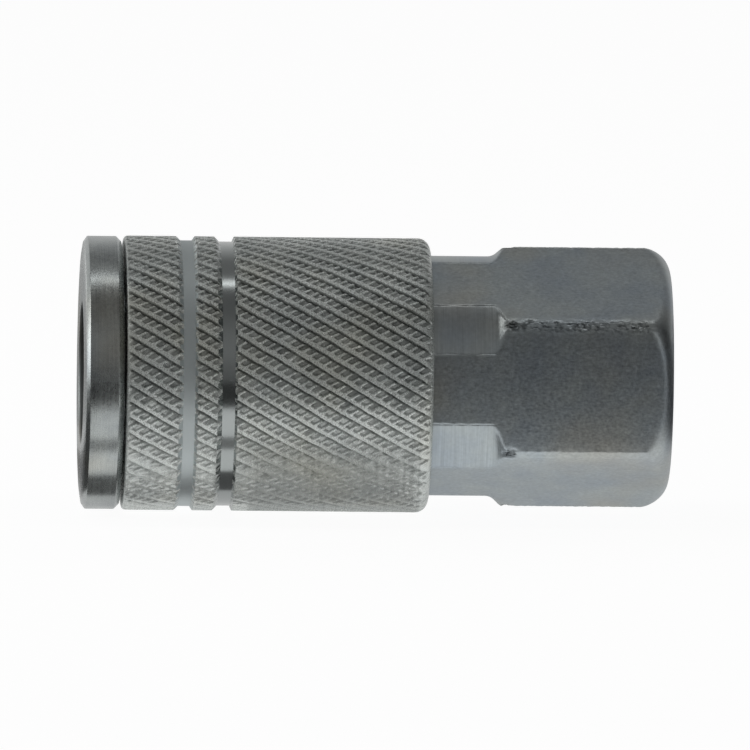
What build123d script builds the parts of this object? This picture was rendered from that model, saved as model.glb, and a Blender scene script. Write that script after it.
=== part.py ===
from build123d import *
from math import cos, radians, sin
import os

os.makedirs("parts", exist_ok=True)

# Pneumatic quick disconnect coupler, industrial interchange profile, 1/4 in body size.
# Millimetres. The X axis is the axis of the coupler: the plug enters at X = 0 and travels
# towards +X, and the pipe thread opens at the far end. A wrench flat faces -Y, corners at +-Z.

# ---- Driving dimensions ------------------------------------------------------------------

OVERALL_LENGTH = 53.0

# Nose socket: the smooth ring at the front and the tube behind it.
RING_R = 12.3
RING_LENGTH = 3.45
RING_FACE_R = 11.2        # the flat face ends here and falls away a little to the chamfer
RING_FACE_FALL = 0.1
RING_CHAMFER_R = 11.85
RING_CHAMFER_END = 0.42
RING_REAR_CHAMFER = 0.45
STOP_R = 9.3              # low step behind the ring that the sleeve rests against
STOP_X = 3.68
STEM_R = 8.1
STEM_END = 32.2
PLUG_BORE_R = 6.05
MOUTH_CHAMFER = 0.4
UNDERCUT_R = 6.5          # grease groove just ahead of the ball holes
UNDERCUT_START = 8.2
RELIEF_R = 6.2            # turned relief round the ball holes
RELIEF_X = (9.0, 13.4)
SEAL_POCKET_X = 15.6      # the plug bore ends here and the seal pocket begins
SEAL_POCKET_R = 6.9

# Locking balls.
BALL_COUNT = 6
BALL_R = 3.175 / 2
BALL_X = 11.0
BALL_LOCKED_R = 6.66      # distance of a ball's centre from the axis
POCKET_R = 1.66
POCKET_LIP_R = 1.555
POCKET_FLOOR_R = 6.3      # the pocket narrows to its lip here, so a ball can't fall inwards

# Sleeve.
SLEEVE_X = (3.70, 31.3)
SLEEVE_R = 12.35
SLEEVE_LIP_R = 8.3
SLEEVE_LIP_END = 4.8
RECESS_R = 9.45           # room for the balls when the sleeve is pulled back
LAND_R = 8.6              # holds the balls in when the sleeve is forward
LAND_X = (10.0, 13.4)
SKIRT_R = 11.0
GROOVE_1 = (8.4, 8.8, 9.85, 10.1)     # knurl ends, floor starts, floor ends, knurl starts
GROOVE_1_R = 11.97
GROOVE_2 = (11.85, 12.3, 13.45, 13.65)
GROOVE_2_R = 11.9
SLEEVE_FRONT_ROUND = 0.35
SLEEVE_REAR_ROUND = 1.1

# Hex body.
HEX_FLATS = 20.64         # 13/16 in across flats
HEX_START = 26.0
NECK_R = 10.8
NECK_END = 37.0
SHOULDER_FILLET = 1.2     # where the neck meets the cone up to the hex corners
CORNER_R = 11.75
REAR_FACE_R = 9.1         # flat end face, then a curve through a middle point to the corners
REAR_CURVE_MIDDLE = (0.75, 10.95)
REAR_CURVE_LENGTH = 2.3
STEM_SEAT_END = 33.2      # socket for the nose tube ends here
VALVE_CHAMBER_END = 37.0
CHAMBER_R = 7.0
PASSAGE_R = 4.8
PORT_START = 41.5
PORT_R = 5.56             # tap drill for the 1/4 in taper pipe thread
PORT_MOUTH_R = 6.86
THREAD_PLAY = 0.03
GASKET_RADII = (7.1, 8.05)

# Sleeve spring and the collar it pushes.
COLLAR_X = (13.42, 14.62)
COLLAR_RADII = (8.3, 10.7)
SLEEVE_SPRING_WIRE_R = 0.6
SLEEVE_SPRING_R = 9.6
SLEEVE_SPRING_TURNS = 4.5

# Plug seal and the ring that backs it.
PLUG_SEAL_X = (15.6, 18.3)
PLUG_SEAL_R = 3.75
LIP_STEP = 0.5            # bevel of the seal lip on both faces
BACKING_X = (18.3, 19.3)
SEAL_OUTER_R = 6.86

# Valve.
SEAT_X = (19.3, 22.28)
SEAT_BORE_R = 4.1
SEAT_RIM_R = 4.9
SEAT_RIM_HEIGHT = 0.38
SEAT_GROOVE = (20.2, 21.4, 5.95)      # starts, ends, floor radius
SEAT_RING_R = 6.42
SEAT_RING_WIRE_R = 0.45
VALVE_SEAL_X = (22.3, 23.7)
VALVE_SEAL_R = 5.2
VALVE_SEAL_BORE_R = 2.15
CARRIER_BOSS_R = 2.1
CARRIER_FLANGE_END = 24.9
CARRIER_PILOT = (26.0, 2.4)           # the spring is centred on this step: end, radius
CARRIER_STEM_R = 1.3
CARRIER_END = 37.4
PUSHER_X = (16.9, 22.3)
PUSHER_R = 3.3
PUSHER_BORE_R = 2.2
PUSHER_DISC_X = 21.2
PUSHER_DISC_R = 3.4
PUSHER_SLOT_X = 18.0
PUSHER_SLOT_WIDTH = 2.0
GUIDE_X = (34.6, 37.0)
GUIDE_R = 6.85
GUIDE_RING_WALL = 1.3
GUIDE_HUB_R = 2.3
GUIDE_HOLE_R = 1.4
GUIDE_RIBS = 3
GUIDE_RIB_WIDTH = 1.6
VALVE_SPRING_WIRE_R = 0.35
VALVE_SPRING_R = 3.0
VALVE_SPRING_TURNS = 6.0

# ---- Shared shapes -----------------------------------------------------------------------

PROFILE = Plane.XZ        # profiles are drawn as (X, radius) and turned about the X axis


def profile(*corners):
    """Adds the closed outline through (x, radius) corners to the sketch being built."""
    with BuildLine() as outline:
        Polyline(*corners, close=True)
    make_face(outline.edges())


def tube(x_span, inner_r, outer_r):
    """Adds a plain ring's outline to the sketch being built."""
    profile(
        (x_span[0], inner_r),
        (x_span[1], inner_r),
        (x_span[1], outer_r),
        (x_span[0], outer_r),
    )


def helix_spring(wire_r, coil_r, start, end, turns):
    """A coil spring about the X axis whose two ends are ground flat at start and end."""
    length = end - start
    climb = length - wire_r
    with BuildPart() as spring:
        with BuildLine():
            path = Helix(
                pitch=climb / turns,
                height=climb,
                radius=coil_r,
                center=(start + wire_r / 2, 0, 0),
                direction=(1, 0, 0),
            )
        with BuildSketch(Plane(origin=path @ 0, z_dir=path % 0)):
            Circle(wire_r)
        sweep(path=path, is_frenet=True)
        with BuildSketch(Plane.YZ.offset(start)):
            Circle(coil_r + 3 * wire_r)
        extrude(amount=length, mode=Mode.INTERSECT)
    return spring.part


def ball_angle(index):
    """The angle of a ball's hole round the axis, in degrees from +Y towards +Z."""
    return 360 / BALL_COUNT * index


# ---- Nose socket: front ring, stem and ball holes ----------------------------------------

with BuildPart() as nose_socket:
    with BuildSketch(PROFILE):
        profile(
            (0, PLUG_BORE_R + MOUTH_CHAMFER),
            (0, RING_FACE_R),
            (RING_FACE_FALL, RING_CHAMFER_R),
            (RING_CHAMFER_END, RING_R),
            (RING_LENGTH - RING_REAR_CHAMFER, RING_R),
            (RING_LENGTH, RING_R - RING_REAR_CHAMFER),
            (RING_LENGTH, STOP_R),
            (STOP_X, STOP_R),
            (STOP_X, STEM_R),
            (STEM_END, STEM_R),
            (STEM_END, SEAL_POCKET_R),
            (SEAL_POCKET_X, SEAL_POCKET_R),
            (SEAL_POCKET_X, PLUG_BORE_R),
            (RELIEF_X[1], PLUG_BORE_R),
            (RELIEF_X[1], RELIEF_R),
            (RELIEF_X[0], RELIEF_R),
            (RELIEF_X[0], UNDERCUT_R),
            (UNDERCUT_START, UNDERCUT_R),
            (UNDERCUT_START, PLUG_BORE_R),
            (MOUTH_CHAMFER, PLUG_BORE_R),
        )
    revolve(axis=Axis.X)
    for i in range(BALL_COUNT):
        turn = radians(ball_angle(i))
        outward = Plane(origin=(BALL_X, 0, 0), z_dir=(0, cos(turn), sin(turn)))
        with BuildSketch(outward.offset(POCKET_FLOOR_R)):
            Circle(POCKET_R)
        extrude(amount=STEM_R, mode=Mode.SUBTRACT)
        with BuildSketch(outward.offset(PLUG_BORE_R / 2)):
            Circle(POCKET_LIP_R)
        extrude(amount=STEM_R, mode=Mode.SUBTRACT)
nose_socket.part.label = "nose_socket"
export_step(nose_socket.part, "parts/nose_socket.step")

# ---- Locking balls -----------------------------------------------------------------------

for i in range(BALL_COUNT):
    turn = radians(ball_angle(i))
    seat = Plane(origin=(BALL_X, BALL_LOCKED_R * cos(turn), BALL_LOCKED_R * sin(turn)))
    with BuildPart(seat) as locking_ball:
        Sphere(BALL_R)
    locking_ball.part.label = f"locking_ball_{i + 1}"
    export_step(locking_ball.part, f"parts/locking_ball_{i + 1}.step")

# ---- Release sleeve ----------------------------------------------------------------------

with BuildPart() as release_sleeve:
    front, rear = SLEEVE_X
    cone_end = LAND_X[0] - (RECESS_R - LAND_R)
    with BuildSketch(PROFILE):
        with BuildLine():
            Line((front, SLEEVE_LIP_R), (front, SLEEVE_R - SLEEVE_FRONT_ROUND))
            RadiusArc(
                (front, SLEEVE_R - SLEEVE_FRONT_ROUND),
                (front + SLEEVE_FRONT_ROUND, SLEEVE_R),
                SLEEVE_FRONT_ROUND,
            )
            Polyline(
                (front + SLEEVE_FRONT_ROUND, SLEEVE_R),
                (GROOVE_1[0], SLEEVE_R),
                (GROOVE_1[1], GROOVE_1_R),
                (GROOVE_1[2], GROOVE_1_R),
                (GROOVE_1[3], SLEEVE_R),
                (GROOVE_2[0], SLEEVE_R),
                (GROOVE_2[1], GROOVE_2_R),
                (GROOVE_2[2], GROOVE_2_R),
                (GROOVE_2[3], SLEEVE_R),
                (rear - SLEEVE_REAR_ROUND, SLEEVE_R),
            )
            RadiusArc(
                (rear - SLEEVE_REAR_ROUND, SLEEVE_R),
                (rear, SLEEVE_R - SLEEVE_REAR_ROUND),
                SLEEVE_REAR_ROUND,
            )
            Polyline(
                (rear, SLEEVE_R - SLEEVE_REAR_ROUND),
                (rear, SKIRT_R),
                (LAND_X[1], SKIRT_R),
                (LAND_X[1], LAND_R),
                (LAND_X[0], LAND_R),
                (cone_end, RECESS_R),
                (SLEEVE_LIP_END, RECESS_R),
                (SLEEVE_LIP_END, SLEEVE_LIP_R),
                (front, SLEEVE_LIP_R),
            )
        make_face()
    revolve(axis=Axis.X)
release_sleeve.part.label = "release_sleeve"
export_step(release_sleeve.part, "parts/release_sleeve.step")

# ---- Hex body with its turned neck and pipe port -----------------------------------------

with BuildPart() as hex_body:
    with BuildSketch(Plane.YZ.offset(HEX_START)):
        RegularPolygon(HEX_FLATS / 2, 6, major_radius=False, rotation=30)
    extrude(amount=OVERALL_LENGTH - HEX_START)
    # The bar is turned down to the neck, with a cone up to the rounded hex corners.
    with BuildSketch(PROFILE) as turned:
        with BuildLine():
            Polyline(
                (OVERALL_LENGTH, REAR_FACE_R),
                (OVERALL_LENGTH, 0),
                (HEX_START, 0),
                (HEX_START, NECK_R),
                (NECK_END, NECK_R),
                (NECK_END + CORNER_R - NECK_R, CORNER_R),
                (OVERALL_LENGTH - REAR_CURVE_LENGTH, CORNER_R),
            )
            ThreePointArc(
                (OVERALL_LENGTH - REAR_CURVE_LENGTH, CORNER_R),
                (OVERALL_LENGTH - REAR_CURVE_MIDDLE[0], REAR_CURVE_MIDDLE[1]),
                (OVERALL_LENGTH, REAR_FACE_R),
            )
        make_face()
        shoulder = turned.vertices().sort_by_distance((NECK_END, NECK_R))[0]
        fillet(shoulder, SHOULDER_FILLET)
    revolve(axis=Axis.X, mode=Mode.INTERSECT)
    # Socket for the nose stem, valve chamber, passage and pipe port.
    with BuildSketch(PROFILE):
        profile(
            (HEX_START, 0),
            (HEX_START, STEM_R + THREAD_PLAY),
            (STEM_SEAT_END, STEM_R + THREAD_PLAY),
            (STEM_SEAT_END, CHAMBER_R),
            (VALVE_CHAMBER_END, CHAMBER_R),
            (VALVE_CHAMBER_END, PASSAGE_R),
            (PORT_START, PASSAGE_R),
            (PORT_START, PORT_R),
            (OVERALL_LENGTH - (PORT_MOUTH_R - PORT_R), PORT_R),
            (OVERALL_LENGTH, PORT_MOUTH_R),
            (OVERALL_LENGTH, 0),
        )
    revolve(axis=Axis.X, mode=Mode.SUBTRACT)
hex_body.part.label = "hex_body"
export_step(hex_body.part, "parts/hex_body.step")

# ---- Sleeve spring and its collar --------------------------------------------------------

with BuildPart() as spring_collar:
    with BuildSketch(PROFILE):
        tube(COLLAR_X, *COLLAR_RADII)
    revolve(axis=Axis.X)
spring_collar.part.label = "spring_collar"
export_step(spring_collar.part, "parts/spring_collar.step")

sleeve_spring = helix_spring(
    SLEEVE_SPRING_WIRE_R, SLEEVE_SPRING_R, COLLAR_X[1], HEX_START, SLEEVE_SPRING_TURNS
)
sleeve_spring.label = "sleeve_spring"
export_step(sleeve_spring, "parts/sleeve_spring.step")

# ---- Plug seal and backing ring ----------------------------------------------------------

with BuildPart() as plug_seal:
    with BuildSketch(PROFILE):
        profile(
            (PLUG_SEAL_X[0], SEAL_OUTER_R),
            (PLUG_SEAL_X[1], SEAL_OUTER_R),
            (PLUG_SEAL_X[1], PLUG_SEAL_R + LIP_STEP),
            (PLUG_SEAL_X[1] - LIP_STEP, PLUG_SEAL_R),
            (PLUG_SEAL_X[0] + LIP_STEP, PLUG_SEAL_R),
            (PLUG_SEAL_X[0], PLUG_SEAL_R + LIP_STEP),
        )
    revolve(axis=Axis.X)
plug_seal.part.label = "plug_seal"
export_step(plug_seal.part, "parts/plug_seal.step")

with BuildPart() as seal_backing_ring:
    with BuildSketch(PROFILE):
        tube(BACKING_X, SEAT_BORE_R, SEAL_OUTER_R)
    revolve(axis=Axis.X)
seal_backing_ring.part.label = "seal_backing_ring"
export_step(seal_backing_ring.part, "parts/seal_backing_ring.step")

# ---- Valve seat and its O-ring -----------------------------------------------------------

with BuildPart() as valve_seat:
    with BuildSketch(PROFILE):
        profile(
            (SEAT_X[0], SEAT_BORE_R),
            (SEAT_X[0], SEAL_OUTER_R),
            (SEAT_GROOVE[0], SEAL_OUTER_R),
            (SEAT_GROOVE[0], SEAT_GROOVE[2]),
            (SEAT_GROOVE[1], SEAT_GROOVE[2]),
            (SEAT_GROOVE[1], SEAL_OUTER_R),
            (SEAT_X[1] - SEAT_RIM_HEIGHT, SEAL_OUTER_R),
            (SEAT_X[1] - SEAT_RIM_HEIGHT, SEAT_RIM_R),
            (SEAT_X[1], SEAT_RIM_R),
            (SEAT_X[1], SEAT_BORE_R),
        )
    revolve(axis=Axis.X)
valve_seat.part.label = "valve_seat"
export_step(valve_seat.part, "parts/valve_seat.step")

with BuildPart() as seat_o_ring:
    with BuildSketch(PROFILE):
        with Locations(((SEAT_GROOVE[0] + SEAT_GROOVE[1]) / 2, SEAT_RING_R)):
            Circle(SEAT_RING_WIRE_R)
    revolve(axis=Axis.X)
seat_o_ring.part.label = "seat_o_ring"
export_step(seat_o_ring.part, "parts/seat_o_ring.step")

# ---- Valve: pusher, face seal, carrier, spring and guide ---------------------------------

with BuildPart() as valve_pusher:
    with BuildSketch(PROFILE):
        profile(
            (PUSHER_X[0], PUSHER_BORE_R),
            (PUSHER_X[0], PUSHER_R),
            (PUSHER_DISC_X, PUSHER_R),
            (PUSHER_DISC_X, PUSHER_DISC_R),
            (PUSHER_X[1], PUSHER_DISC_R),
            (PUSHER_X[1], 0),
            (PUSHER_DISC_X, 0),
            (PUSHER_DISC_X, PUSHER_BORE_R),
        )
    revolve(axis=Axis.X)
    # Two crossing slots let the air out of the hollow pusher and past the open valve.
    with BuildSketch(Plane.YZ.offset(PUSHER_SLOT_X)):
        Rectangle(PUSHER_SLOT_WIDTH, 3 * PUSHER_R)
        Rectangle(3 * PUSHER_R, PUSHER_SLOT_WIDTH)
    extrude(amount=PUSHER_DISC_X - PUSHER_SLOT_X, mode=Mode.SUBTRACT)
valve_pusher.part.label = "valve_pusher"
export_step(valve_pusher.part, "parts/valve_pusher.step")

with BuildPart() as valve_seal:
    with BuildSketch(PROFILE):
        tube(VALVE_SEAL_X, VALVE_SEAL_BORE_R, VALVE_SEAL_R)
    revolve(axis=Axis.X)
valve_seal.part.label = "valve_seal"
export_step(valve_seal.part, "parts/valve_seal.step")

with BuildPart() as valve_carrier:
    with BuildSketch(PROFILE):
        profile(
            (VALVE_SEAL_X[0], 0),
            (VALVE_SEAL_X[0], CARRIER_BOSS_R),
            (VALVE_SEAL_X[1], CARRIER_BOSS_R),
            (VALVE_SEAL_X[1], VALVE_SEAL_R),
            (CARRIER_FLANGE_END, VALVE_SEAL_R),
            (CARRIER_FLANGE_END, CARRIER_PILOT[1]),
            (CARRIER_PILOT[0], CARRIER_PILOT[1]),
            (CARRIER_PILOT[0], CARRIER_STEM_R),
            (CARRIER_END, CARRIER_STEM_R),
            (CARRIER_END, 0),
        )
    revolve(axis=Axis.X)
valve_carrier.part.label = "valve_carrier"
export_step(valve_carrier.part, "parts/valve_carrier.step")

valve_spring = helix_spring(
    VALVE_SPRING_WIRE_R, VALVE_SPRING_R, CARRIER_FLANGE_END, GUIDE_X[0], VALVE_SPRING_TURNS
)
valve_spring.label = "valve_spring"
export_step(valve_spring, "parts/valve_spring.step")

with BuildPart() as valve_guide:
    with BuildSketch(Plane.YZ.offset(GUIDE_X[0])):
        Circle(GUIDE_R)
        Circle(GUIDE_R - GUIDE_RING_WALL, mode=Mode.SUBTRACT)
        rib_length = GUIDE_R - GUIDE_RING_WALL / 2
        with PolarLocations(rib_length / 2, GUIDE_RIBS):
            Rectangle(rib_length, GUIDE_RIB_WIDTH)
        Circle(GUIDE_HUB_R)
        Circle(GUIDE_HOLE_R, mode=Mode.SUBTRACT)
    extrude(amount=GUIDE_X[1] - GUIDE_X[0])
valve_guide.part.label = "valve_guide"
export_step(valve_guide.part, "parts/valve_guide.step")

# ---- Gasket between the nose stem and the hex body ---------------------------------------

with BuildPart() as body_gasket:
    with BuildSketch(PROFILE):
        tube((STEM_END, STEM_SEAT_END), GASKET_RADII[0], GASKET_RADII[1])
    revolve(axis=Axis.X)
body_gasket.part.label = "body_gasket"
export_step(body_gasket.part, "parts/body_gasket.step")
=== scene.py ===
"""Pneumatic quick disconnect coupler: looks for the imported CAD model, in metres, in its frame.

The X axis is the coupler's axis. The plug mouth is at X = 0 and the pipe port at the far end.
"""

from math import acos, atan2, ceil, cos, exp, floor, pi, radians, sin, sqrt, tan

import bmesh
import bpy
from mathutils import Matrix, Vector, noise


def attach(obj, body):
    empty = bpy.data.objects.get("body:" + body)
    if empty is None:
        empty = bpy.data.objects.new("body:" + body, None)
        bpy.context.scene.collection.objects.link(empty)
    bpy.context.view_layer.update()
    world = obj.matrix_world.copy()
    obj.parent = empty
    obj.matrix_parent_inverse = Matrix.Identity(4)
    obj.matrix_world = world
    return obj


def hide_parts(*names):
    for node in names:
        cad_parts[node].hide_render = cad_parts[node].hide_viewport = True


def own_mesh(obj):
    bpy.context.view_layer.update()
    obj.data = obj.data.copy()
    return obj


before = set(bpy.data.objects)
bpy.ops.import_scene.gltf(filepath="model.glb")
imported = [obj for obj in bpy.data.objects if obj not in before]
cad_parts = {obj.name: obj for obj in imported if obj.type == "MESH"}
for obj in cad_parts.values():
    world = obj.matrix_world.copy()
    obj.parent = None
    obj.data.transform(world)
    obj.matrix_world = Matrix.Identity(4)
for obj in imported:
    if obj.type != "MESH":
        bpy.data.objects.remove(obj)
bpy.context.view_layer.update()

MM = 0.001
TAU = 2 * pi

# ---- Sizes in millimetres: the CAD model's, and those of the finer shapes on it -----------

LENGTH = 53.0

RING_R, RING_LENGTH = 12.3, 3.45
STOP_R, STOP_X = 9.3, 3.68
STEM_R, STEM_END = 8.1, 32.2
PLUG_BORE_R, MOUTH_R = 6.05, 6.45
UNDERCUT_R, UNDERCUT_X = 6.5, (8.2, 9.0)
RELIEF_R, RELIEF_END = 6.2, 13.4
SEAL_POCKET_R, SEAL_POCKET_X = 6.9, 15.6
RING_FRONT = ((0, 11.2), (0.1, 11.85), (0.42, RING_R))      # the rounded edge, as (x, radius)
RING_REAR_CHAMFER = 0.45
BALL_COUNT, BALL_X, POCKET_R, POCKET_CUT = 6, 11.0, 1.66, 4.5

SLEEVE_X = (3.70, 31.3)
SLEEVE_R = 12.35
SLEEVE_FRONT_ROUND, SLEEVE_REAR_ROUND = 0.35, 1.1
GROOVES = (
    ((8.4, 8.8, 9.85, 10.1), 11.97),
    ((11.85, 12.3, 13.45, 13.65), 11.9),
)
BETWEEN_GROOVES, GROOVES_REACH = 11.0, 3.0          # both grooves lie within the reach of it
SLEEVE_INSIDE = (
    (31.3, 11.0), (13.4, 11.0), (13.4, 8.6), (10.0, 8.6), (9.15, 9.45),
    (4.8, 9.45), (4.8, 8.3), (3.70, 8.3),
)

COARSE_STARTS, COARSE_ANGLE = 52, 31.0
FINE_STARTS, FINE_ANGLE = 106, 29.0
KNURL_DEPTH, KNURL_DEEPEST = 0.27, -1.3             # the second is a multiple of the first
KNURL_FADE = (0.5, 0.7)                             # along the front and the rear end

HEX_FLATS = 20.64
HEX_START, NECK_R, NECK_END = 26.0, 10.8, 37.0
SHOULDER_FILLET = 1.2
CORNER_R = 11.75
REAR_ARC, REAR_LENGTH = (2.694, 9.085, 2.694), 2.3   # how far in and out it is centred, and radius
STEM_SEAT_END, STEM_BORE_R = 33.2, 8.13
CHAMBER_R, CHAMBER_END = 7.0, 37.0
PASSAGE_R = 4.8
PORT_X, PORT_R, PORT_MOUTH_R = 41.5, 5.56, 6.86
TORN_CORNERS = (0.6, 0.4, 1.0, 0.2, 0.4, 0.7)       # how badly, from between +Y and +Z round
TORN_DEPTH, TORN_HALF_WIDTH, TORN_COVER = 0.12, 0.60, 0.42
TORN_FULL = 0.1                                     # depth at which the layer "torn" is 1
TORN_STRETCH = (1.6, 32.0)                          # of its noise, along and round the axis
TORN_NOISE, TIP_NOISE = ((1.0, 1.5), (0.7, 3.1)), ((1.2, 2),)
# The dent where each corner starts; TIP_X is counted from the end of the neck.
TIP_DEPTH, TIP_X, TIP_LENGTH, TIP_WIDTH = 0.22, 1.25, 0.5, 0.42
BURR_DEPTH, BURR_WIDTH = 0.05, 0.05
EDGE_SOFT, REAR_SOFT, REAR_SOFT_LENGTH = 0.02, 1.3, 2.6           # the hexagon's edges
THREAD_PITCH, THREAD_DEPTH = 25.4 / 18, 0.95
THREAD_START, THREAD_RUNOUT = 0.6, 2.5              # from the port's inner end
THREAD_STEPS = (0.0, 0.06, 0.25, 0.44, 0.5, 0.56, 0.75, 0.94)


# ---- Mesh helpers --------------------------------------------------------------------------


def point(x, r, angle):
    """A point at distance r from the axis, in metres; angle 0 is +Y and a quarter turn is +Z."""
    return Vector((x * MM, r * cos(angle) * MM, r * sin(angle) * MM))


def angle_of(v):
    """A vertex's angle round the axis, from 0 up to a full turn."""
    return atan2(v.co.z, v.co.y) % TAU


def smooth(t):
    """Runs from 0 to 1 with no corner at either end."""
    t = min(max(t, 0.0), 1.0)
    return t * t * (3 - 2 * t)


def layered_noise(place, layers):
    """The sum of (amount, frequency) layers of noise at a place."""
    return sum(amount * noise.noise(place * frequency) for amount, frequency in layers)


def finish_mesh(bm, name, material, body, replaced=(), sharp=35.0):
    """Turns bm into a piece that rides on a body, smooth shaded except at its sharp edges."""
    bmesh.ops.remove_doubles(bm, verts=bm.verts, dist=1e-7)
    bmesh.ops.recalc_face_normals(bm, faces=bm.faces)
    mesh = bpy.data.meshes.new(name)
    bm.to_mesh(mesh)
    bm.free()
    mesh.shade_smooth()
    mesh.set_sharp_from_angle(angle=radians(sharp))
    piece = bpy.data.objects.new(name, mesh)
    bpy.context.scene.collection.objects.link(piece)
    mesh.materials.append(material)
    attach(piece, body)
    if replaced:
        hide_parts(*replaced)
    return piece


def ring_of(bm, x, r, angles):
    """A loop of new vertices at x and radius r."""
    return [bm.verts.new(point(x, r, a)) for a in angles]


def skin(bm, first, second):
    """Quads between two closed loops with the same number of points."""
    n = len(first)
    for i in range(n):
        j = (i + 1) % n
        bm.faces.new((first[i], first[j], second[j], second[i]))


def zip_loops(bm, first, second):
    """Triangles between two closed loops round the axis whose points don't line up."""
    first = sorted(first, key=angle_of)
    second = sorted(second, key=angle_of)
    i = j = 0
    while i < len(first) or j < len(second):
        a, b = first[i % len(first)], second[j % len(second)]
        next_a, next_b = first[(i + 1) % len(first)], second[(j + 1) % len(second)]
        turn_a = angle_of(next_a) + (TAU if i + 1 >= len(first) else 0)
        turn_b = angle_of(next_b) + (TAU if j + 1 >= len(second) else 0)
        if j >= len(second) or (i < len(first) and turn_a <= turn_b):
            bm.faces.new((a, next_a, b))
            i += 1
        else:
            bm.faces.new((a, next_b, b))
            j += 1


def rounded(profile, radius, steps=3):
    """The closed profile with each corner turned into a small arc."""
    out = []
    n = len(profile)
    for i in range(n):
        corner = Vector(profile[i])
        back = Vector(profile[i - 1]) - corner
        ahead = Vector(profile[(i + 1) % n]) - corner
        half = back.angle(ahead) / 2
        if half > radians(84):
            out.append(tuple(corner))
            continue
        reach = min(radius / tan(half), 0.4 * back.length, 0.4 * ahead.length)
        start, end = corner + back.normalized() * reach, corner + ahead.normalized() * reach
        for k in range(steps + 1):
            t = k / steps
            p = start * (1 - t) ** 2 + corner * 2 * t * (1 - t) + end * t * t
            out.append(tuple(p))
    return out


def lathe(profile, segments):
    """A closed (x, radius) profile turned about the X axis."""
    bm = bmesh.new()
    angles = [TAU * k / segments for k in range(segments)]
    loops = [ring_of(bm, x, r, angles) for x, r in profile]
    for i, loop in enumerate(loops):
        skin(bm, loops[i - 1], loop)
    return bm


# ---- Release sleeve ------------------------------------------------------------------------

CIRCUMFERENCE = TAU * SLEEVE_R
COARSE_SLOPE = tan(radians(COARSE_ANGLE))
FINE_SLOPE = tan(radians(FINE_ANGLE))
# Where the knurl's mesh has points across one period, and the ridge height at each.
COARSE_STEPS = ((0.0, 1.0), (0.11, 0.95), (0.19, -0.42), (0.33, -0.1), (0.70, 0.0), (0.85, 0.95))
FINE_STEPS = ((0.0, 0.80), (0.12, 0.68), (0.27, 0.0), (0.68, 0.0), (0.88, 0.66))
# Fine ridges stop short of a coarse ridge's foot: how high they start from, and how steeply.
FOOT_HEIGHT, FOOT_CLIMB = -0.22, 6
# Layers of (amount, frequency) in the height, in the depth, and in the turn round the axis.
HEIGHT_NOISE = ((0.30, 1.9), (0.20, 7))
DEPTH_NOISE = ((0.25, 0.7),)
TURN_NOISE = ((0.0055, 0.55), (0.0035, 1.8))
# The angle that each lightly pressed band is centred on, and how much shallower it is there.
LIGHT_PRESS = ((4.10, 0.50), (1.55, 0.4))
PRESS_FALL, PRESS_REACH = 1.35, 1.1


def sleeve_turned(x):
    """Radius of the sleeve before it is knurled, with its rounded ends."""
    front = x - SLEEVE_X[0]
    rear = SLEEVE_X[1] - x
    if front < SLEEVE_FRONT_ROUND:
        return SLEEVE_R - SLEEVE_FRONT_ROUND + sqrt(
            max(SLEEVE_FRONT_ROUND**2 - (SLEEVE_FRONT_ROUND - front) ** 2, 0)
        )
    if rear < SLEEVE_REAR_ROUND:
        return SLEEVE_R - SLEEVE_REAR_ROUND + sqrt(
            max(SLEEVE_REAR_ROUND**2 - (SLEEVE_REAR_ROUND - rear) ** 2, 0)
        )
    return SLEEVE_R


def groove_turned(x):
    """Radius that the two grooves are turned to, or the sleeve's own where there is none."""
    for (start, floor_start, floor_end, end), r in GROOVES:
        if start < x < end:
            if x < floor_start:
                return SLEEVE_R + (r - SLEEVE_R) * (x - start) / (floor_start - start)
            if x > floor_end:
                return r + (SLEEVE_R - r) * (x - floor_end) / (end - floor_end)
            return r
    return SLEEVE_R


def ridge(phase, steps):
    """Height of a ridge family at a phase, straight between the points of its steps."""
    phase %= 1.0
    ends = steps + ((1.0, steps[0][1]),)
    for (p0, h0), (p1, h1) in zip(ends, ends[1:]):
        if phase <= p1:
            return h0 + (h1 - h0) * (phase - p0) / (p1 - p0)
    return steps[0][1]


def on_sleeve(x, angle):
    """A place on the sleeve in millimetres, for noise."""
    return Vector((x, SLEEVE_R * cos(angle), SLEEVE_R * sin(angle)))


def knurl_height(x, angle):
    """0 where the blank's surface is left as it was, and below 0 where the knurl presses it in."""
    along = angle * SLEEVE_R
    coarse = ridge((along - x * COARSE_SLOPE) * COARSE_STARTS / CIRCUMFERENCE, COARSE_STEPS)
    fine = ridge((along + x * FINE_SLOPE) * FINE_STARTS / CIRCUMFERENCE, FINE_STEPS)
    high = max(coarse, min(fine, FOOT_CLIMB * (coarse - FOOT_HEIGHT)))
    place = on_sleeve(x, angle)
    high += layered_noise(place, HEIGHT_NOISE)
    for centre, lift in LIGHT_PRESS:
        away = abs((angle - centre + pi) % TAU - pi)
        high += lift * cos(PRESS_FALL * min(away, PRESS_REACH))
    uneven = 1.0 + layered_noise(place, DEPTH_NOISE)
    return max(min(high - 1.0, 0.0) * uneven, KNURL_DEEPEST)


def knurled_point(x, angle):
    """Where a point of the knurl's mesh goes, and how deep in a pit it is."""
    end_fade = smooth(min((x - SLEEVE_X[0]) / KNURL_FADE[0], (SLEEVE_X[1] - x) / KNURL_FADE[1]))
    height = end_fade * knurl_height(x, angle)
    knurled, turned = sleeve_turned(x) + KNURL_DEPTH * height, groove_turned(x)
    wander = layered_noise(on_sleeve(x, angle), TURN_NOISE)
    return point(x, min(knurled, turned), angle + wander), -height if knurled < turned else 0.0


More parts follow.
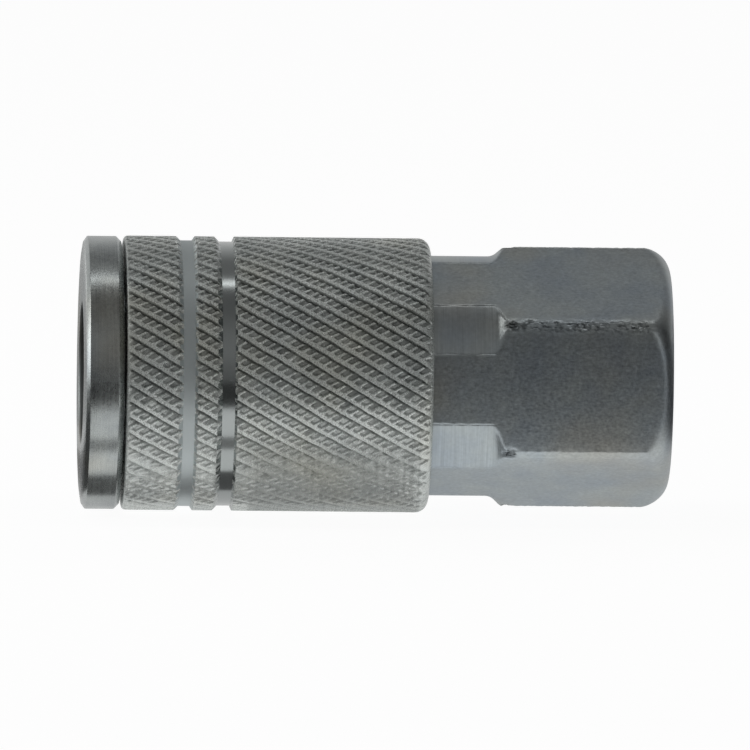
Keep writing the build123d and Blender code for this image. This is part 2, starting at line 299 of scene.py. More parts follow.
def knurl_lattice(bm, start, end):
    """Quads all round the axis, with edges along both sets of knurl lines, past start and end."""
    coarse_count = COARSE_STARTS * len(COARSE_STEPS)
    fine_turn = FINE_STARTS * len(FINE_STEPS)
    cells = {}

    def phase(index, steps):
        return index // len(steps) + steps[index % len(steps)][0]

    def place(i, j):
        p = phase(i, COARSE_STEPS) * CIRCUMFERENCE / COARSE_STARTS
        q = phase(j, FINE_STEPS) * CIRCUMFERENCE / FINE_STARTS
        x = (q - p) / (COARSE_SLOPE + FINE_SLOPE)
        return x, p + x * COARSE_SLOPE

    def vertex(i, j):
        turns = i // coarse_count
        key = (i - turns * coarse_count, j - turns * fine_turn)
        if key not in cells:
            x, along = place(*key)
            cells[key] = bm.verts.new(point(x, SLEEVE_R, along / SLEEVE_R))
        return cells[key]

    periods = (COARSE_SLOPE + FINE_SLOPE) * FINE_STARTS / CIRCUMFERENCE   # per millimetre
    margin = 1.2
    for i in range(coarse_count):
        p = phase(i, COARSE_STEPS) * FINE_STARTS / COARSE_STARTS
        low = floor((p + (start - margin) * periods) * len(FINE_STEPS)) - 2
        high = ceil((p + (end + margin) * periods) * len(FINE_STEPS)) + 2
        for j in range(low, high):
            corners = (vertex(i, j), vertex(i + 1, j), vertex(i + 1, j + 1), vertex(i, j + 1))
            bm.faces.new(corners)


def cut_rings(bm, stations):
    """Cuts the mesh at each x, and drops what lies outside the first and the last."""
    for k, x in enumerate(stations):
        bmesh.ops.bisect_plane(
            bm,
            geom=bm.verts[:] + bm.edges[:] + bm.faces[:],
            dist=1e-8,
            plane_co=(x * MM, 0, 0),
            plane_no=(1, 0, 0),
            clear_inner=k == 0,
            clear_outer=k == len(stations) - 1,
        )


def loop_at(bm, x):
    """The open boundary's vertices at x, in order round the axis."""
    found = [v for v in bm.verts if v.is_boundary and abs(v.co.x - x * MM) < 1e-6]
    return sorted(found, key=angle_of)


def release_sleeve(material):
    """The knurled sleeve, open through its middle; its layer "pit" is how deep it is pressed."""
    bm = bmesh.new()
    front, rear = SLEEVE_X
    pit = bm.verts.layers.float.new("pit")
    knurl_lattice(bm, front, rear)
    stations = [front, front + 0.05, front + 0.15, front + SLEEVE_FRONT_ROUND]
    for corners, _ in GROOVES:
        stations += corners
    for turn in (0, 18, 36, 54, 70, 82):
        stations.append(rear - SLEEVE_REAR_ROUND * (1 - sin(radians(turn))))
    stations.append(rear)
    cut_rings(bm, stations)
    for v in bm.verts:
        v.co, v[pit] = knurled_point(v.co.x / MM, atan2(v.co.z, v.co.y))
    first, last = loop_at(bm, front), loop_at(bm, rear)
    angles = [angle_of(v) for v in last]
    for x, r in SLEEVE_INSIDE:
        inner = ring_of(bm, x, r, angles)
        skin(bm, last, inner)
        last = inner
    zip_loops(bm, last, first)
    return finish_mesh(
        bm, "knurled_sleeve", material, "sleeve", ["release_sleeve"],
        sharp=32,
    )


# ---- Nose socket ---------------------------------------------------------------------------


def nose_socket(material):
    """The smooth ring and the stem behind it, which the sleeve slides on."""
    outline = [
        (0, MOUTH_R), *RING_FRONT, (RING_LENGTH - RING_REAR_CHAMFER, RING_R),
        (RING_LENGTH, RING_R - RING_REAR_CHAMFER), (RING_LENGTH, STOP_R), (STOP_X, STOP_R),
        (STOP_X, STEM_R), (STEM_END, STEM_R), (STEM_END, SEAL_POCKET_R),
        (SEAL_POCKET_X, SEAL_POCKET_R), (SEAL_POCKET_X, PLUG_BORE_R),
        (RELIEF_END, PLUG_BORE_R), (RELIEF_END, RELIEF_R), (UNDERCUT_X[1], RELIEF_R),
        (UNDERCUT_X[1], UNDERCUT_R), (UNDERCUT_X[0], UNDERCUT_R),
        (UNDERCUT_X[0], PLUG_BORE_R), (MOUTH_R - PLUG_BORE_R, PLUG_BORE_R),
    ]
    bm = lathe(rounded(outline, radius=0.09), segments=240)
    piece = finish_mesh(
        bm, "nose_ring_and_stem", material, "coupler_body", ["nose_socket"]
    )
    drill_ball_holes(piece)
    return piece


def drill_ball_holes(piece):
    """Cuts the six radial holes that the locking balls sit in."""
    cutter = bmesh.new()
    for k in range(BALL_COUNT):
        turn = TAU * k / BALL_COUNT
        outward = Matrix.Rotation(turn, 4, "X") @ Matrix.Rotation(-pi / 2, 4, "X")
        place = Matrix.Translation(point(BALL_X, STEM_R, turn)) @ outward
        bmesh.ops.create_cone(
            cutter, cap_ends=True, segments=48, radius1=POCKET_R * MM,
            radius2=POCKET_R * MM, depth=POCKET_CUT * MM, matrix=place,
        )
    tool_mesh = bpy.data.meshes.new("ball_hole_cutter")
    cutter.to_mesh(tool_mesh)
    cutter.free()
    tool = bpy.data.objects.new("ball_hole_cutter", tool_mesh)
    bpy.context.scene.collection.objects.link(tool)
    cut = piece.modifiers.new("ball_holes", "BOOLEAN")
    cut.operation, cut.solver, cut.object = "DIFFERENCE", "EXACT", tool
    graph = bpy.context.evaluated_depsgraph_get()
    drilled = bpy.data.meshes.new_from_object(piece.evaluated_get(graph))
    piece.modifiers.clear()
    piece.data = drilled
    drilled.set_sharp_from_angle(angle=radians(35))
    bpy.data.objects.remove(tool)


# ---- Hex body ------------------------------------------------------------------------------


def hex_turned(x):
    """Radius that the hex bar is turned down to."""
    cone_start, cone_end = NECK_END, NECK_END + CORNER_R - NECK_R
    reach = SHOULDER_FILLET * tan(radians(22.5))
    if x <= cone_start - reach:
        return NECK_R
    if x < cone_start + reach * cos(radians(45)):
        dx = x - (cone_start - reach)
        return NECK_R + SHOULDER_FILLET - sqrt(SHOULDER_FILLET**2 - dx * dx)
    if x < cone_end:
        return NECK_R + x - cone_start
    rear = LENGTH - x
    if rear < REAR_LENGTH:
        inward, outward, radius = REAR_ARC
        return outward + sqrt(max(radius**2 - (inward - rear) ** 2, 0))
    return CORNER_R


def soft_min(a, b, width):
    """The lower of a and b, with the corner where they meet rounded over about width."""
    h = max(width - abs(a - b), 0.0) / width
    return min(a, b) - h * h * width / 4


def hex_stations():
    """Where the outside of the hex body has loops along the axis."""
    cone_end = NECK_END + CORNER_R - NECK_R
    reach = SHOULDER_FILLET * tan(radians(22.5))
    out = [HEX_START, 29.0] + [31.0 + 0.25 * k for k in range(21)]
    out += [NECK_END - reach + SHOULDER_FILLET * sin(radians(45)) * k / 6 for k in range(7)]
    start, end = out[-1] + 0.1, LENGTH - REAR_LENGTH
    count = int((end - start) / 0.14)
    out += [start + (end - start) * k / count for k in range(count)]
    inward, _, radius = REAR_ARC
    out += [LENGTH - inward + radius * sin(radians(t)) for t in range(9, 82, 6)]
    out += [LENGTH - inward + radius * sin(radians(t)) for t in (84, 87)] + [LENGTH]
    return sorted(out)


def torn(x, local, angle):
    """Depth torn by the tool into the bar, along the hexagon's corners that it barely touches."""
    corner = int(angle // (pi / 3)) % 6
    across = (abs(local) - pi / 6) * CORNER_R
    near = exp(-((across / TORN_HALF_WIDTH) ** 4))
    length, around = TORN_STRETCH
    place = Vector((x * length, around * cos(angle), around * sin(angle)))
    patch = max(layered_noise(place, TORN_NOISE) + TORN_COVER, 0.0)
    along = smooth((x - NECK_END - 1.2) / 0.6) * smooth((LENGTH - 1.2 - x) / 1.5)
    depth = TORN_DEPTH * TORN_CORNERS[corner] * along * near * patch
    tip = exp(-(((x - NECK_END - TIP_X) / TIP_LENGTH) ** 2)) * exp(-((across / TIP_WIDTH) ** 2))
    return depth + TIP_DEPTH * tip * max(1 + layered_noise(place, TIP_NOISE), 0.0)


def burr(x, local, angle):
    """Depth of the fine ragged line along each edge where the turned neck meets a flat."""
    across = (abs(local) - acos(HEX_FLATS / 2 / NECK_R)) * NECK_R
    ragged = 0.7 + noise.noise(Vector((x * 2.2, 9 * cos(angle), 9 * sin(angle))))
    end = smooth((NECK_END + 0.1 - x) / 0.3)
    return BURR_DEPTH * end * max(ragged, 0.0) * exp(-((across / BURR_WIDTH) ** 2))


def hex_angles():
    """Where the hexagon's mesh has points across half a side, from mid flat to corner."""
    neck_edge, land_edge = acos(HEX_FLATS / 2 / NECK_R), acos(HEX_FLATS / 2 / CORNER_R)
    out = [0.0, 0.08, 0.16, 0.22]
    out += [neck_edge + step for step in (-0.02, -0.008, -0.004, 0.0, 0.004, 0.008, 0.02)]
    out += [0.35, 0.39, 0.43, 0.452, 0.466, 0.48, 0.488]
    out += [land_edge + step for step in (-0.003, 0.003)]
    out += [0.506, 0.515]
    return out


def hex_loop(bm, x, turned_layer, torn_layer):
    """The body's outline at x: six flats with softened edges and the turned arcs between them."""
    half_flat, turned = HEX_FLATS / 2, hex_turned(x)
    corner = pi / 6
    half = hex_angles()
    soft = EDGE_SOFT + REAR_SOFT * smooth(1 - (LENGTH - x) / REAR_SOFT_LENGTH)
    loop = []
    for side in range(6):
        centre = pi / 3 * side
        angles = [centre + a for a in half] + [centre + corner]
        angles += [centre + pi / 3 - a for a in reversed(half[1:])]
        for angle in angles:
            local = (angle + corner) % (pi / 3) - corner
            flat = half_flat / cos(local)
            depth = torn(x, local, angle) + burr(x, local, angle)
            vertex = bm.verts.new(point(x, soft_min(flat, turned, soft) - depth, angle))
            vertex[turned_layer] = 1.0 if turned < flat and x < NECK_END + 1 else 0.0
            vertex[torn_layer] = depth / TORN_FULL
            loop.append(vertex)
    return loop


def port_radius(x, angle):
    """Radius of the pipe port's wall: a thread that runs out inwards, and a mouth chamfer."""
    turn = (x / THREAD_PITCH - angle / TAU) % 1.0
    crest = THREAD_STEPS[1]
    tooth = (abs(turn - 0.5) - crest) / (0.5 - 2 * crest)
    depth = THREAD_DEPTH * smooth((x - PORT_X - THREAD_START) / THREAD_RUNOUT)
    threaded = PORT_R + depth * (1 - min(max(tooth, 0.0), 1.0))
    return max(threaded, PORT_MOUTH_R - (LENGTH - x))


def thread_lattice(bm, start, end, columns=96):
    """Quads whose rows climb with the thread, so that its crests are sharp."""
    rows = len(THREAD_STEPS)
    low = floor((start - 1) / THREAD_PITCH) * rows - rows
    high = ceil((end + 1) / THREAD_PITCH) * rows
    grid = {}

    def vertex(row, column):
        if column == columns:
            return vertex(row + rows, 0)
        if (row, column) not in grid:
            x = THREAD_PITCH * (row // rows + THREAD_STEPS[row % rows] + column / columns)
            grid[row, column] = bm.verts.new(point(x, PORT_R, TAU * column / columns))
        return grid[row, column]

    for row in range(low, high):
        for column in range(columns):
            bm.faces.new((
                vertex(row, column), vertex(row, column + 1),
                vertex(row + 1, column + 1), vertex(row + 1, column),
            ))


def hex_body(material):
    """The hexagon, its turned neck and the threaded port, as one closed mesh."""
    bm = bmesh.new()
    turned, torn_in = (bm.verts.layers.float.new(name) for name in ("turned", "torn"))
    thread_lattice(bm, PORT_X, LENGTH)
    chamfer_start = LENGTH - (PORT_MOUTH_R - PORT_R)
    cut_rings(bm, [PORT_X, PORT_X + THREAD_START, chamfer_start, LENGTH])
    for v in bm.verts:
        angle, x = atan2(v.co.z, v.co.y), v.co.x / MM
        v.co = point(x, port_radius(x, angle), angle)
    inner, mouth = loop_at(bm, PORT_X), loop_at(bm, LENGTH)
    loops = [hex_loop(bm, x, turned, torn_in) for x in hex_stations()]
    for first, second in zip(loops, loops[1:]):
        skin(bm, first, second)
    zip_loops(bm, loops[-1], mouth)
    angles = [TAU * k / 160 for k in range(160)]
    inside = [
        (PORT_X, PASSAGE_R), (CHAMBER_END, PASSAGE_R), (CHAMBER_END, CHAMBER_R),
        (STEM_SEAT_END, CHAMBER_R), (STEM_SEAT_END, STEM_BORE_R), (HEX_START, STEM_BORE_R),
    ]
    rings = [ring_of(bm, x, r, angles) for x, r in inside]
    zip_loops(bm, inner, rings[0])
    for first, second in zip(rings, rings[1:]):
        skin(bm, first, second)
    zip_loops(bm, rings[-1], loops[0])
    return finish_mesh(
        bm, "hexagon_body", material, "coupler_body", ["hex_body"], sharp=28
    )


# ---- Springs -------------------------------------------------------------------------------

COIL_STEPS, COIL_SIDES = 44, 12
CLOSED_TURNS, CLOSED_PITCH = 1.0, 0.92              # at each end; the pitch is in wire widths
GROUND_HEIGHT, PITCH_EASE = 0.55, 0.35              # first turn's centre, in wire radii


def spring(name, material, start, end, coil_r, wire_r, free_turns):
    """A coil spring with a closed, ground turn at each end."""
    turns = free_turns + 2 * CLOSED_TURNS
    climb = end - start - 2 * wire_r - 2 * CLOSED_TURNS * 2 * wire_r * CLOSED_PITCH

    def height(turn):
        low = min(turn, CLOSED_TURNS) + max(turn - CLOSED_TURNS - free_turns, 0)
        free = min(max(turn - CLOSED_TURNS, 0), free_turns) / free_turns
        eased = free - PITCH_EASE * sin(TAU * free) / TAU
        closed = low * 2 * wire_r * CLOSED_PITCH
        return start + wire_r * GROUND_HEIGHT + closed + climb * eased

    bm = bmesh.new()
    loops = []
    count = int(turns * COIL_STEPS)
    for k in range(count + 1):
        turn = turns * k / count
        slope = (height(turn + 0.01) - height(turn - 0.01)) / 0.02 / (TAU * coil_r)
        lean = 1 / sqrt(1 + slope * slope)
        loop = []
        for m in range(COIL_SIDES):
            around = TAU * m / COIL_SIDES
            out, up = wire_r * cos(around), wire_r * sin(around)
            x = min(max(height(turn) + up * lean, start), end)
            angle = TAU * turn - up * slope * lean / coil_r
            loop.append(bm.verts.new(point(x, coil_r + out, angle)))
        loops.append(loop)
    for first, second in zip(loops, loops[1:]):
        skin(bm, first, second)
    bm.faces.new(loops[0])
    bm.faces.new(reversed(loops[-1]))
    piece = finish_mesh(
        bm, name + "_coil", material, "coupler_body", [name], sharp=50
    )
    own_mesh(piece)
    return piece


# ---- Materials -----------------------------------------------------------------------------


class Nodes:
    """A few words for wiring a material's nodes."""

    def __init__(self, name):
        self.material = bpy.data.materials.new(name)
        self.material.use_nodes = True
        self.tree = self.material.node_tree
        self.shader = self.tree.nodes["Principled BSDF"]
        self.place = self.add("ShaderNodeTexCoord").outputs["Object"]

    def add(self, kind, inputs=(), **settings):
        node = self.tree.nodes.new(kind)
        for key, value in settings.items():
            setattr(node, key, value)
        for key, value in dict(inputs).items():
            self.put(node.inputs[key], value)
        return node

    def put(self, socket, value):
        if isinstance(value, bpy.types.NodeSocket):
            self.tree.links.new(value, socket)
        else:
            socket.default_value = value

    def math(self, operation, a, b=0.0):
        node = self.add("ShaderNodeMath", operation=operation)
        self.put(node.inputs[0], a)
        self.put(node.inputs[1], b)
        return node.outputs[0]

    def noise(self, vector, scale, detail=2.0, roughness=0.5):
        values = {"Vector": vector, "Scale": scale, "Detail": detail, "Roughness": roughness}
        return self.add("ShaderNodeTexNoise", values).outputs["Fac"]

    def spread(self, value, low, high, to_low=0.0, to_high=1.0):
        values = {"Value": value, "From Min": low, "From Max": high}
        values.update({"To Min": to_low, "To Max": to_high})
        return self.add("ShaderNodeMapRange", values).outputs["Result"]

    def mix(self, factor, a, b, blend="MIX"):
        node = self.add("ShaderNodeMix", data_type="RGBA", blend_type=blend)
        self.put(node.inputs["Factor"], factor)
        self.put(node.inputs["A"], a)
        self.put(node.inputs["B"], b)
        return node.outputs["Result"]

    def blend(self, factor, a, b):
        node = self.add("ShaderNodeMix", data_type="FLOAT")
        self.put(node.inputs["Factor"], factor)
        self.put(node.inputs["A"], a)
        self.put(node.inputs["B"], b)
        return node.outputs["Result"]

    def bump(self, height, strength, distance, normal=None):
        values = {"Height": height, "Strength": strength, "Distance": distance}
        if normal is not None:
            values["Normal"] = normal
        return self.add("ShaderNodeBump", values).outputs["Normal"]

    def layer(self, name):
        """A value that the mesh stores at its points."""
        return self.add("ShaderNodeAttribute", attribute_name=name).outputs["Fac"]

    def from_axis(self):
        """The place's X, Y and Z, and its distance from the X axis."""
        parts = self.add("ShaderNodeSeparateXYZ", {"Vector": self.place}).outputs
        y2, z2 = self.math("POWER", parts[1], 2), self.math("POWER", parts[2], 2)
        return parts, self.math("SQRT", self.math("ADD", y2, z2))

    def lathe_marks(self, grain):
        """A vector that is steady round the axis and changes along and away from it."""
        parts, away = self.from_axis()
        along = self.math("ADD", parts[0], self.math("MULTIPLY", away, 0.62))
        values = {
            "X": self.math("MULTIPLY", along, grain),
            "Y": self.math("MULTIPLY", parts[1], grain * 0.02),
            "Z": self.math("MULTIPLY", parts[2], grain * 0.02),
        }
        return self.add("ShaderNodeCombineXYZ", values).outputs[0]

    def stretched(self, x, y, z):
        """The place, scaled differently along each axis."""
        node = self.add("ShaderNodeMapping", {"Vector": self.place, "Scale": (x, y, z)})
        return node.outputs[0]


def rgb(r, g, b):
    return (r, g, b, 1.0)


def plated_metal(
    name, tints, rough, grain, mottle, relief, drawn_grain=None, hollows=None, bore=None
):
    """Zinc plate in three patchy tints, with fine lines left by the tool.

    Lines go round the axis; with a drawn_grain they do so only where the layer "turned" is 1.
    Hollows are a mesh layer, the value where it is darkest, and the shade there; in the knurl's
    pits this darker colour is painted shade. Inside the radius bore the colour is darkened as
    painted shade, and the metal is made dull.
    """
    n = Nodes(name)
    turned = n.noise(n.lathe_marks(grain), 1.0, 3.0, 0.6)
    lines = turned
    if drawn_grain:
        drawn = n.noise(n.stretched(*drawn_grain), 1.0, 3.0, 0.6)
        lines = n.blend(n.layer("turned"), drawn, turned)
    cloud = n.spread(n.noise(n.place, mottle, 3.0, 0.6), 0.35, 0.65)
    patch = n.spread(n.noise(n.place, mottle * 0.45, 2.0, 0.5), 0.48, 0.72)
    grime = n.noise(n.place, mottle * 14, 2.0, 0.6)
    pale, deep, warm = (rgb(*tint) for tint in tints)
    tint = n.mix(cloud, pale, deep)
    tint = n.mix(n.math("MULTIPLY", patch, 0.5), tint, warm)
    shade = n.spread(lines, 0.3, 0.7, 0.86, 1.08)
    shade = n.math("MULTIPLY", shade, n.spread(grime, 0.3, 0.7, 0.93, 1.05))
    if hollows:
        layer, darkest_at, dark = hollows
        # Darkens the colour where the layer is high; in the knurl's pits this is painted shade.
        shade = n.math("MULTIPLY", shade, n.spread(n.layer(layer), 0.2, darkest_at, 1.0, dark))
    worn = n.spread(n.math("ADD", lines, grime), 0.6, 1.4, rough - 0.05, rough + 0.06)
    if bore:
        _, away = n.from_axis()
        # Painted shade: the colour inside the bore is darkened to a quarter, and its roughness
        # raised.
        bore_shade = n.spread(away, (bore - 0.15) * MM, (bore + 0.1) * MM, 1.0, 0.0)
        shade = n.math("MULTIPLY", shade, n.spread(bore_shade, 0.0, 1.0, 1.0, 0.25))
        worn = n.blend(bore_shade, worn, 0.7)
    grey = n.add("ShaderNodeCombineColor", {"Red": shade, "Green": shade, "Blue": shade})
    colour = n.mix(1.0, tint, grey.outputs[0], "MULTIPLY")
    n.put(n.shader.inputs["Base Color"], colour)
    n.shader.inputs["Metallic"].default_value = 1.0
    n.put(n.shader.inputs["Roughness"], worn)
    normal = n.bump(lines, relief, 0.00002)
    n.put(n.shader.inputs["Normal"], n.bump(grime, relief * 0.5, 0.00003, normal))
    return n


def rolled_sleeve_metal():
    """The sleeve's plate: grainy on the knurl with painted shade in its pits, and smooth where the
    two grooves are turned, the first with painted light.
    """
    n = plated_metal(
        "rolled_zinc_sleeve",
        tints=((0.64, 0.67, 0.645), (0.56, 0.595, 0.58), (0.62, 0.61, 0.51)),
        # The knurl's pits get painted shade, down to about a third of the colour.
        rough=0.40, grain=7000.0, mottle=260.0, relief=0.15, hollows=("pit", 1.3, 0.34),
    )
    (x, *_), away = n.from_axis()
    grooved = n.math("LESS_THAN", away, (SLEEVE_R - 0.03) * MM)
    from_middle = n.math("ABSOLUTE", n.math("SUBTRACT", x, BETWEEN_GROOVES * MM))
    in_grooves = n.math("LESS_THAN", from_middle, GROOVES_REACH * MM)
    pit = n.layer("pit")
    base = n.shader.inputs["Base Color"].links[0].from_socket
    first = n.math("LESS_THAN", x, BETWEEN_GROOVES * MM)
    # Painted light: the first groove's colour is made 1.6 times lighter than the second's.
    lit = n.mix(first, rgb(1, 1, 1), rgb(1.6, 1.62, 1.65))
    turned_base = n.mix(1.0, rgb(0.36, 0.385, 0.38), lit, "MULTIPLY")
    unpressed = n.math("LESS_THAN", pit, 0.01)
    polished = n.math("MULTIPLY", n.math("MULTIPLY", grooved, in_grooves), unpressed)
    groove_rough = n.spread(first, 0.0, 1.0, 0.19, 0.60)
    grain = n.noise(n.place, 5500.0, 3.0, 0.65)
    sheen = n.spread(pit, 0.0, 0.4, 0.29, 0.20)
    knurl_rough = n.math("ADD", sheen, n.spread(grain, 0.3, 0.7, -0.11, 0.11))
    n.put(n.shader.inputs["Metallic"], n.blend(polished, 0.70, 1.0))
    n.put(n.shader.inputs["Base Color"], n.mix(polished, base, turned_base))
    n.put(n.shader.inputs["Roughness"], n.blend(polished, knurl_rough, groove_rough))
    marks = n.noise(n.lathe_marks(9000.0), 1.0, 3.0, 0.6)
    height = n.blend(polished, n.math("MULTIPLY", grain, 3.0), n.math("MULTIPLY", marks, 0.3))
    n.put(n.shader.inputs["Normal"], n.bump(height, 0.65, 0.000035))
    return n.material


def turned_metal(name, colour, rough, grain, relief):
    """Bare metal off a lathe, with fine lines round the axis."""
    n = Nodes(name)
    lines = n.noise(n.lathe_marks(grain), 1.0, 2.0, 0.6)
    cloud = n.noise(n.place, 300.0, 2.0)
    dark = [c * 0.82 for c in colour]
    n.put(n.shader.inputs["Base Color"], n.mix(cloud, rgb(*colour), rgb(*dark)))
    n.shader.inputs["Metallic"].default_value = 1.0
    n.put(n.shader.inputs["Roughness"], n.spread(lines, 0.3, 0.7, rough - 0.05, rough + 0.08))
    n.put(n.shader.inputs["Normal"], n.bump(lines, relief, 0.00002))
    return n.material


def moulded_rubber(name):
    """Black rubber with a little dust on it."""
    n = Nodes(name)
    grain = n.noise(n.place, 9000.0, 3.0)
    dust = n.spread(n.noise(n.place, 700.0, 3.0), 0.5, 0.8)
    colour = n.mix(dust, rgb(0.018, 0.018, 0.020), rgb(0.05, 0.05, 0.052))
    n.put(n.shader.inputs["Base Color"], colour)
    n.put(n.shader.inputs["Roughness"], n.spread(grain, 0.3, 0.7, 0.48, 0.66))
    n.put(n.shader.inputs["Normal"], n.bump(grain, 0.3, 0.00002))
    return n.material


def polished_ball(name):
    """Bright hardened steel with light scuffs."""
    n = Nodes(name)
    scuffs = n.noise(n.place, 2500.0, 4.0, 0.7)
    colour = n.mix(scuffs, rgb(0.70, 0.70, 0.71), rgb(0.60, 0.60, 0.62))
    n.put(n.shader.inputs["Base Color"], colour)
    n.shader.inputs["Metallic"].default_value = 1.0
    n.put(n.shader.inputs["Roughness"], n.spread(scuffs, 0.4, 0.8, 0.08, 0.2))
    return n.material


# ---- Camera, light and floor ---------------------------------------------------------------

CAMERA_AZIMUTH, CAMERA_ELEVATION, CAMERA_ROLL = -2.6, 6.9, 0.87
CAMERA_DISTANCE = 3.0
FRAME_WIDTH = 0.0676
SENSOR = 36
CENTRE = Vector((LENGTH / 2 * MM, 0, 0))

# The tent round the part, by degrees up from the front (-Y) and on over the top: how bright.
TENT_STOPS = (
    (-180, 0.8), (-40, 0.19), (8, 0.18), (24, 0.27), (40, 0.25), (62, 0.16), (82, 0.14),
    (104, 0.20), (124, 0.23), (140, 0.46), (158, 0.64),
)
# The same tent grows dim towards +X, between these two amounts of a direction's X.
TENT_SIDE = (("From Min", 0.6), ("From Max", 0.9), ("To Min", 1.0), ("To Max", 0.15))

# Cards on the floor, in millimetres: span of x, span of y, how bright, height above the floor.
FLAGS = {
    "front_flag": ((-600, 600), (-1200, -36), 0.04, 0.1),
    "near_flag": ((-20, 30.5), (-17.5, -14), 0.26, 0.1),
    "under_flag": ((-20, 30.5), (-9.2, -5.6), 0.13, 0.2),
    "sleeve_flag": ((15, 30.5), (-14, -9.2), 0.30, 0.2),
    "heel_flag": ((15, 30.5), (-5.6, 1), 0.40, 0.2),
    "base_flag": ((-40, 100), (-6, 60), 0.68, 0.1),
    "left_flag": ((-60, -0.5), (60, 400), 0.30, 0.1),
    "left_floor_flag": ((-200, -2), (-34, 40), 0.06, 0.3),
    "right_flag": ((72, 900), (-500, 500), 0.05, 0.2),
}
# Azimuth and elevation in degrees, distance and size in metres, power in watts.
LIGHTS = {
    "overhead_strip": (180, 88, 0.5, (0.5, 0.045), 0.18),
    "right_front_panel": (38, -2, 0.6, (0.25, 0.3), 0.17),
    "left_panel": (-98, 12, 0.5, (0.2, 0.4), 0.60),
}
FLOOR_HALF_WIDTH = 1.5


def direction(azimuth, elevation):
    """The way to go from the part: azimuth 0 is -Y, and 90 is +X."""
    a, e = radians(azimuth), radians(elevation)
    return Vector((sin(a) * cos(e), -cos(a) * cos(e), sin(e)))


def facing(ahead, distance):
    """A place at a distance from the part's centre, turned to look back at it."""
    turn = (-ahead).to_track_quat("-Z", "Y").to_matrix().to_4x4()
    return Matrix.Translation(CENTRE + ahead * distance) @ turn


def add_camera():
    data = bpy.data.cameras.new("camera")
    data.sensor_width = SENSOR
    data.lens = SENSOR * CAMERA_DISTANCE / FRAME_WIDTH
    data.clip_start, data.clip_end = 0.01, 20
    camera = bpy.data.objects.new("camera", data)
    bpy.context.scene.collection.objects.link(camera)
    ahead = direction(CAMERA_AZIMUTH, CAMERA_ELEVATION)
    roll = Matrix.Rotation(radians(CAMERA_ROLL), 4, "Z")
    camera.matrix_world = facing(ahead, CAMERA_DISTANCE) @ roll
    bpy.context.scene.camera = camera


def plane(name, corners, material):
    """A flat piece of the stage, not of the part."""
    mesh = bpy.data.meshes.new(name)
    mesh.from_pydata(corners, [], [tuple(range(len(corners)))])
    mesh.materials.append(material)
    obj = bpy.data.objects.new(name, mesh)
    bpy.context.scene.collection.objects.link(obj)
    return obj


def plain(name, grey, glow):
    """Matt grey that glows a little, without highlights."""
    n = Nodes(name)
    n.shader.inputs["Base Color"].default_value = rgb(grey, grey, grey)
    n.shader.inputs["Roughness"].default_value = 0.9
    n.shader.inputs["Specular IOR Level"].default_value = 0.0
    n.shader.inputs["Emission Color"].default_value = rgb(1.0, 1.0, 1.0)
    n.shader.inputs["Emission Strength"].default_value = glow
    return n.material


def soft_light(name, azimuth, elevation, distance, size, power):
    data = bpy.data.lights.new(name, "AREA")
    data.shape, data.size, data.size_y = "RECTANGLE", size[0], size[1]
    data.energy = power
    light = bpy.data.objects.new(name, data)
    bpy.context.scene.collection.objects.link(light)
    light.matrix_world = facing(direction(azimuth, elevation), distance)


def add_world():
    """A light tent, dim in front and overhead and pale behind. The camera sees white beyond it."""
    world = bpy.data.worlds.new("tent")
    bpy.context.scene.world = world
    world.use_nodes = True
    tree = world.node_tree
    tree.nodes.clear()
    add, link = tree.nodes.new, tree.links.new
    coords, split = add("ShaderNodeTexCoord"), add("ShaderNodeSeparateXYZ")
    link(coords.outputs["Generated"], split.inputs[0])
    flip, angle = add("ShaderNodeMath"), add("ShaderNodeMath")
    flip.operation, angle.operation = "MULTIPLY", "ARCTAN2"
    flip.inputs[1].default_value = -1
    link(split.outputs["Y"], flip.inputs[0])
    link(split.outputs["Z"], angle.inputs[0])
    link(flip.outputs[0], angle.inputs[1])
    turn = add("ShaderNodeMapRange")
    turn.inputs["From Min"].default_value, turn.inputs["From Max"].default_value = -pi, pi
    link(angle.outputs[0], turn.inputs["Value"])
    ramp = add("ShaderNodeValToRGB")
    link(turn.outputs["Result"], ramp.inputs["Fac"])
    points = ramp.color_ramp.elements
    while len(points) < len(TENT_STOPS):
        points.new(0.5)
    for element, (degree, level) in zip(points, TENT_STOPS):
        element.position = degree / 360 + 0.5
        element.color = (level, level, level, 1)
    tent, seen = add("ShaderNodeBackground"), add("ShaderNodeBackground")
    link(ramp.outputs["Color"], tent.inputs["Color"])
    side = add("ShaderNodeMapRange")
    link(split.outputs["X"], side.inputs["Value"])
    for name, value in TENT_SIDE:
        side.inputs[name].default_value = value
    link(side.outputs["Result"], tent.inputs["Strength"])
    seen.inputs["Color"].default_value = (1, 1, 1, 1)
    path, pick = add("ShaderNodeLightPath"), add("ShaderNodeMixShader")
    out = add("ShaderNodeOutputWorld")
    link(path.outputs["Is Camera Ray"], pick.inputs["Fac"])
    link(tent.outputs[0], pick.inputs[1])
    link(seen.outputs[0], pick.inputs[2])
    link(pick.outputs[0], out.inputs["Surface"])


def flag(name, x_span, y_span, level, height):
    """A card lying on the floor that only the metal's reflections see."""
    z = (height - SLEEVE_R) * MM
    (x0, x1), (y0, y1) = [[v * MM for v in span] for span in (x_span, y_span)]
    corners = [(x0, y0, z), (x1, y0, z), (x1, y1, z), (x0, y1, z)]
    card = plane(name, corners, plain(name, 0.0, level))
    card.visible_camera = False
    card.visible_shadow = False
    card.visible_diffuse = False


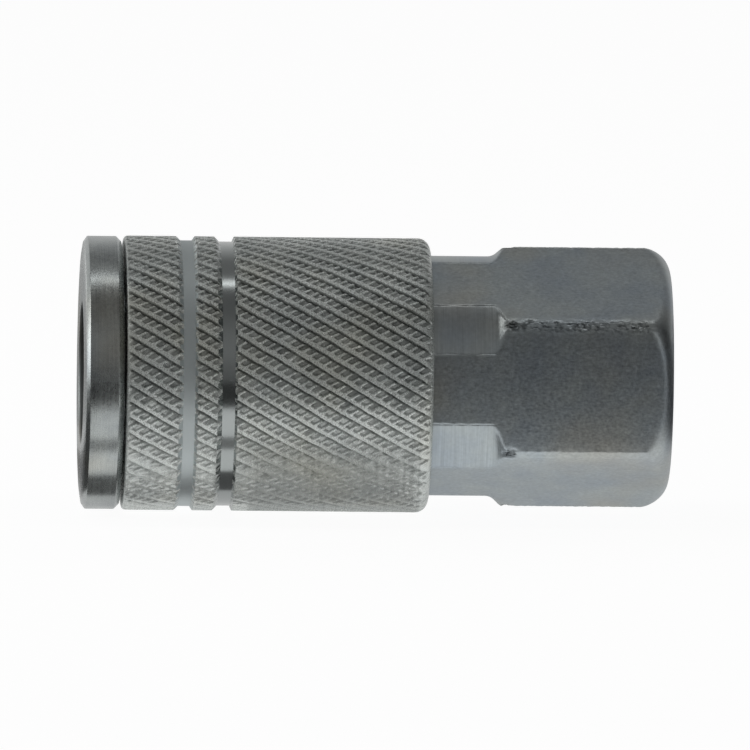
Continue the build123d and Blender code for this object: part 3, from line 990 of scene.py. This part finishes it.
def add_stage():
    floor_z, wide = -SLEEVE_R * MM, FLOOR_HALF_WIDTH
    signs = ((-1, -1), (1, -1), (1, 1), (-1, 1))
    corners = [(wide * x, wide * y, floor_z) for x, y in signs]
    plane("floor", corners, plain("pale_paper", 0.16, 0.93))
    for name, card in FLAGS.items():
        flag(name, *card)
    for name, lamp in LIGHTS.items():
        soft_light(name, *lamp)


# ---- Build ---------------------------------------------------------------------------------

add_camera()
add_world()
add_stage()
bpy.context.scene.view_settings.view_transform = "Standard"

nose_zinc = plated_metal(
    "turned_zinc_nose",
    tints=((0.46, 0.49, 0.48), (0.34, 0.365, 0.37), (0.44, 0.41, 0.33)),
    rough=0.27, grain=9000.0, mottle=260.0, relief=0.42, bore=6.4,
).material
sleeve_zinc = rolled_sleeve_metal()
hex_zinc = plated_metal(
    "drawn_zinc_hex",
    tints=((0.42, 0.46, 0.465), (0.355, 0.40, 0.435), (0.455, 0.42, 0.335)),
    rough=0.36, grain=9000.0, mottle=200.0, relief=0.2,
    drawn_grain=(3000.0, 5500.0, 5500.0), hollows=("torn", 1.0, 0.45),
).material
steel = turned_metal("turned_steel", (0.55, 0.56, 0.57), rough=0.32, grain=9000.0, relief=0.3)
wire = turned_metal("spring_wire", (0.36, 0.36, 0.37), rough=0.35, grain=6000.0, relief=0.1)
brass = turned_metal("turned_brass", (0.72, 0.52, 0.24), rough=0.28, grain=9000.0, relief=0.3)
rubber = moulded_rubber("nitrile_rubber")
ball_steel = polished_ball("ball_steel")

release_sleeve(sleeve_zinc)
nose_socket(nose_zinc)
hex_body(hex_zinc)
spring(
    "sleeve_spring", wire, start=14.62, end=HEX_START, coil_r=9.6, wire_r=0.6,
    free_turns=2.5,
)
spring(
    "valve_spring", wire, start=24.9, end=34.6, coil_r=3.0, wire_r=0.35,
    free_turns=5.0,
)

kept = {
    steel: ("spring_collar", "seal_backing_ring"),
    brass: ("valve_seat", "valve_pusher", "valve_carrier", "valve_guide"),
    rubber: ("plug_seal", "seat_o_ring", "valve_seal", "body_gasket"),
    ball_steel: tuple(f"locking_ball_{k + 1}" for k in range(BALL_COUNT)),
}
for material, names in kept.items():
    for name in names:
        for material_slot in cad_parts[name].material_slots:
            material_slot.material = material
